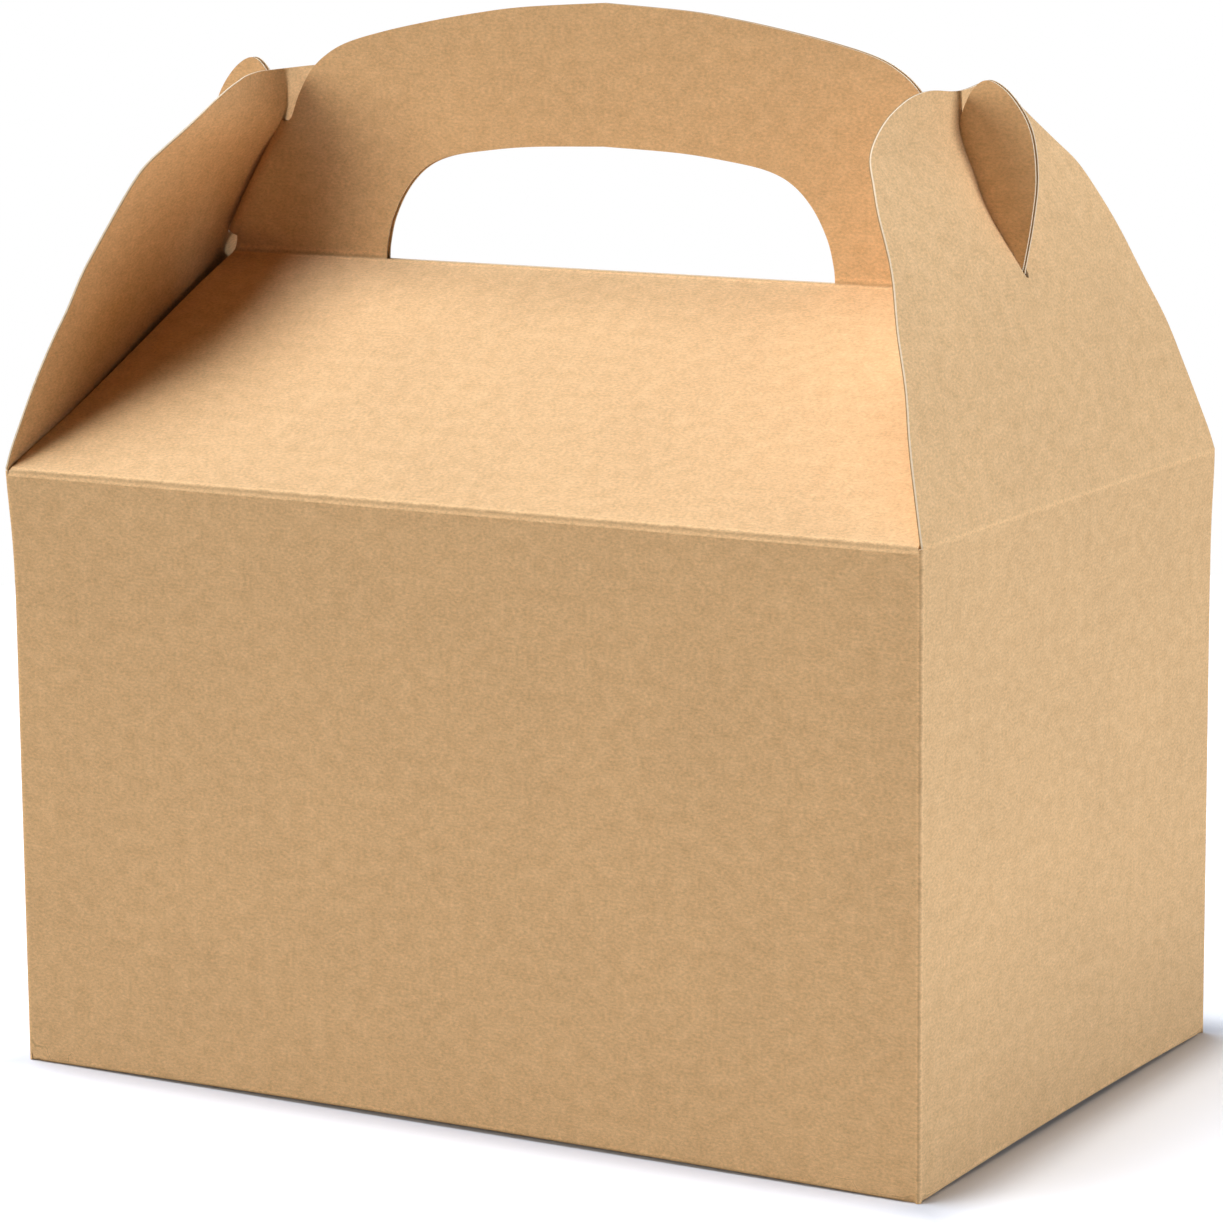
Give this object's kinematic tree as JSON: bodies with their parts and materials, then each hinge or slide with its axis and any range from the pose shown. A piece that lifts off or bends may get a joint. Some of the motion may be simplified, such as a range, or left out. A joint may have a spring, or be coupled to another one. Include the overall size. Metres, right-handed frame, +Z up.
{
  "type": "gable box",
  "caption": "Folded kraft board carton with a gable roof, a carry handle with a finger hole, and end flaps that lock over the handle's ears.",
  "frame": {"origin": "middle of the base, on the surface that the box stands on", "axes": "+Z up, X along the box's length between the two end flaps, Y across it, the front wall facing -Y"},
  "size_m": [0.158, 0.1036, 0.1662],
  "materials": {
    "kraft_board": "matt uncoated kraft board with fine fibres"
  },
  "bodies": {
    "carton": {"carton": "kraft_board"},
    "right_flap": {"right_end_flap": "kraft_board", "right_flap_tip": "kraft_board"},
    "left_flap": {"left_end_flap": "kraft_board", "left_flap_tip": "kraft_board"}
  },
  "joints": [
    {"name": "right_flap_crease", "type": "hinge", "parent": "carton", "child": "right_flap", "pos_m": [0.0791, 0, 0.0951], "axis": [0, 1, 0], "range_deg": [0, 175], "deforming": ["right_flap_tip"]},
    {"name": "left_flap_crease", "type": "hinge", "parent": "carton", "child": "left_flap", "pos_m": [-0.0791, 0, 0.0951], "axis": [0, -1, 0], "range_deg": [0, 175], "deforming": ["left_flap_tip"]}
  ]
}
